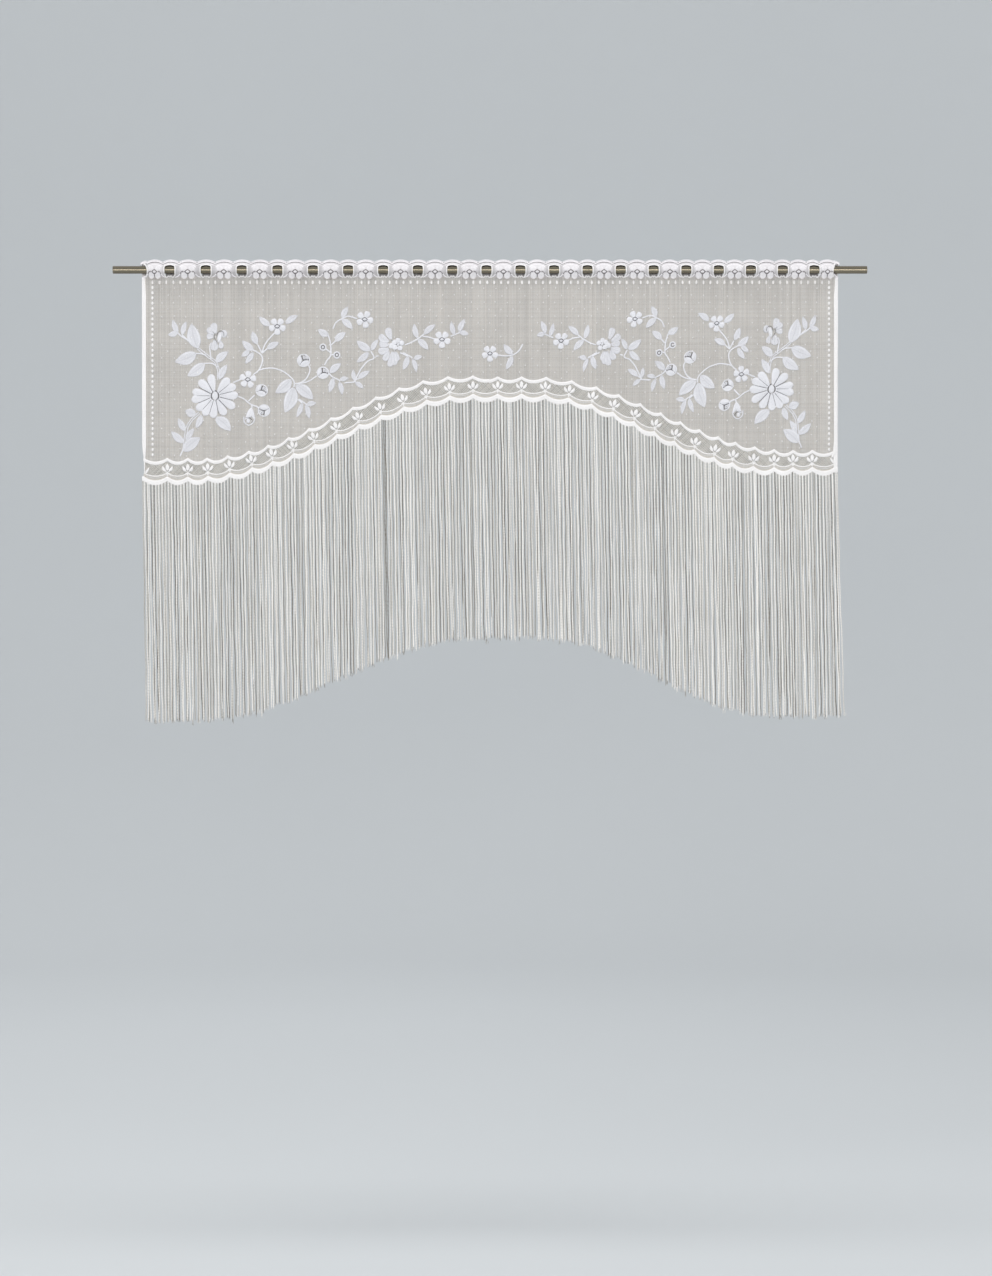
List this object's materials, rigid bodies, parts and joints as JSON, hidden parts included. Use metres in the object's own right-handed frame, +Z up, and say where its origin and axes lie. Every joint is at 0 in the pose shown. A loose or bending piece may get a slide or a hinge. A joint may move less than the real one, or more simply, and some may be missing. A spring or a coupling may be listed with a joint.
{
  "type": "lace cafe curtain on a rod",
  "caption": "White lace cafe curtain with an eyelet heading, flower sprays, scalloped border and long arched string fringe, hung on a slim metal rod.",
  "frame": {"origin": "the middle of the rod, on its axis", "axes": "+X along the rod to the right as seen from the room, -Y towards the room, +Z up"},
  "size_m": [0.975, 0.014, 0.5953],
  "materials": {
    "rod_metal": "brushed, dark olive brown",
    "heading_lace": "dense white warp-knitted lace, matt",
    "panel_lace": "sheer off-white net with white knitted motifs, matt",
    "fringe_yarn": "off-white chain-stitched yarn strings, matt"
  },
  "bodies": {
    "root": {"rod": "rod_metal", "heading": "heading_lace", "lace_panel": "panel_lace", "fringe": "fringe_yarn"}
  },
  "joints": []
}
